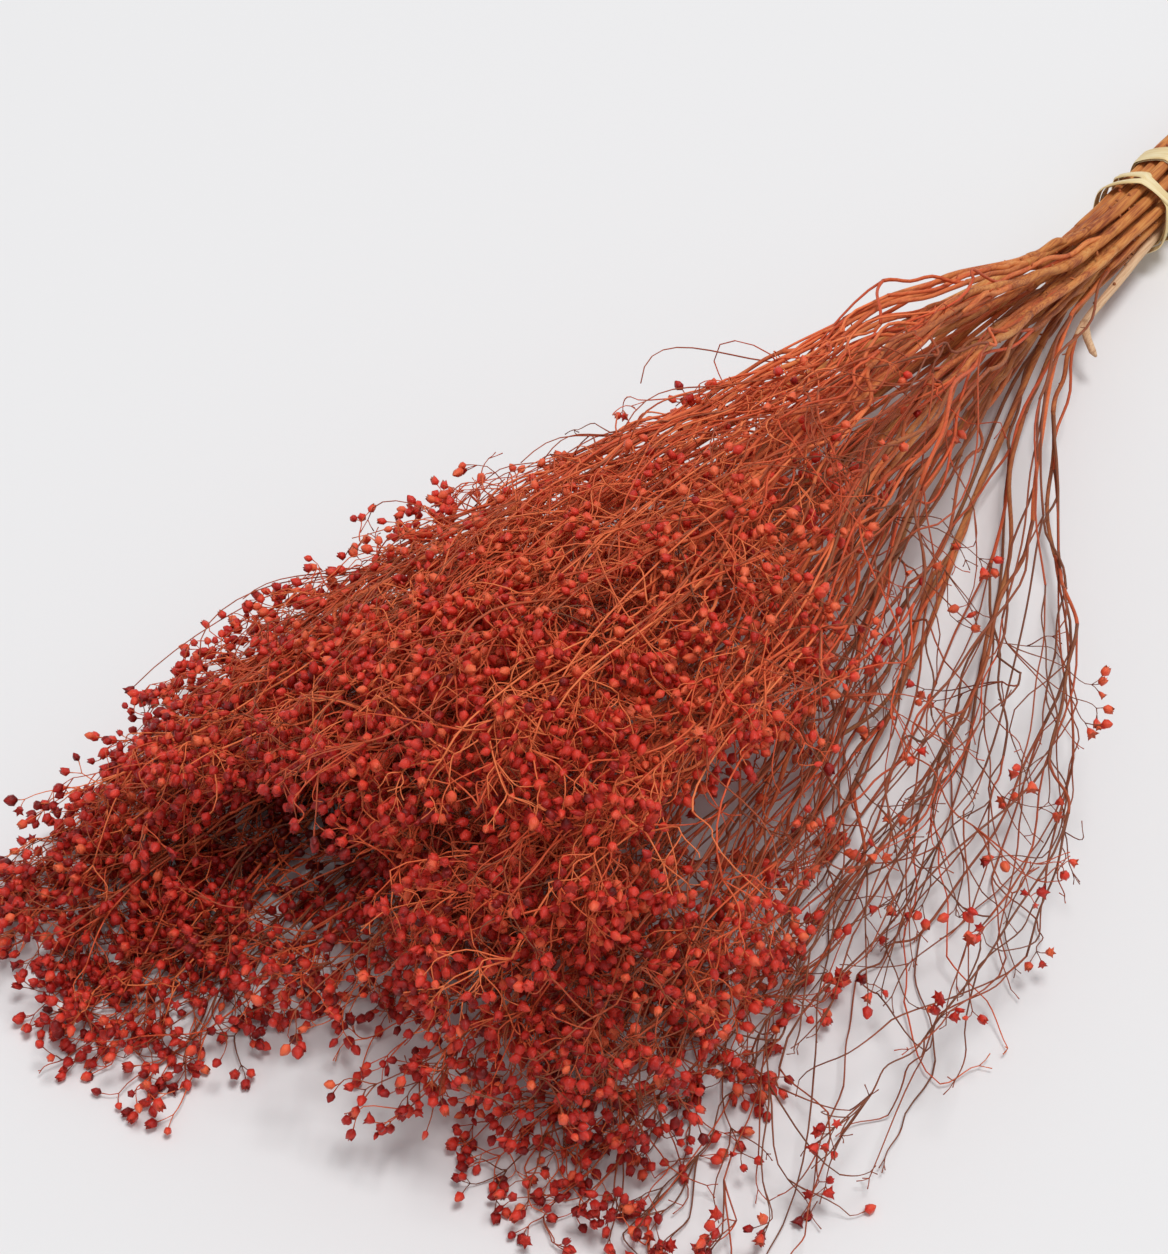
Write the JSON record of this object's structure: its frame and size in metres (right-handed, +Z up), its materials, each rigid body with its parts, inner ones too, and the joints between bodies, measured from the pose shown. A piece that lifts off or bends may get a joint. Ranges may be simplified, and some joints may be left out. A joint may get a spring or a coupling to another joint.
{
  "type": "tied bunch of dried broom bloom",
  "caption": "Dried bunch of finely branched stems with small round seed capsules, gathered by a raffia tie and lying on its side as a broad fan-shaped plume.",
  "frame": {"origin": "middle of the lying bunch's outer box, on the surface that it lies on", "axes": "+X along the bunch from the seed tips to the cut butts, +Z up, +Y across the plume towards its back edge"},
  "size_m": [0.605, 0.265, 0.1106],
  "materials": {
    "spray": "matte bark and satin dyed seed capsules",
    "raffia": "natural raffia, satin along the fibre"
  },
  "bodies": {
    "root": {"spray_01": "spray", "spray_02": "spray", "spray_03": "spray", "spray_04": "spray", "spray_05": "spray", "spray_06": "spray", "spray_07": "spray", "spray_08": "spray", "spray_09": "spray", "spray_10": "spray", "spray_11": "spray", "spray_12": "spray", "spray_13": "spray", "spray_14": "spray", "spray_15": "spray", "spray_16": "spray", "spray_17": "spray", "spray_18": "spray", "spray_19": "spray", "raffia_band": "raffia", "raffia_tie": "raffia"}
  },
  "joints": []
}
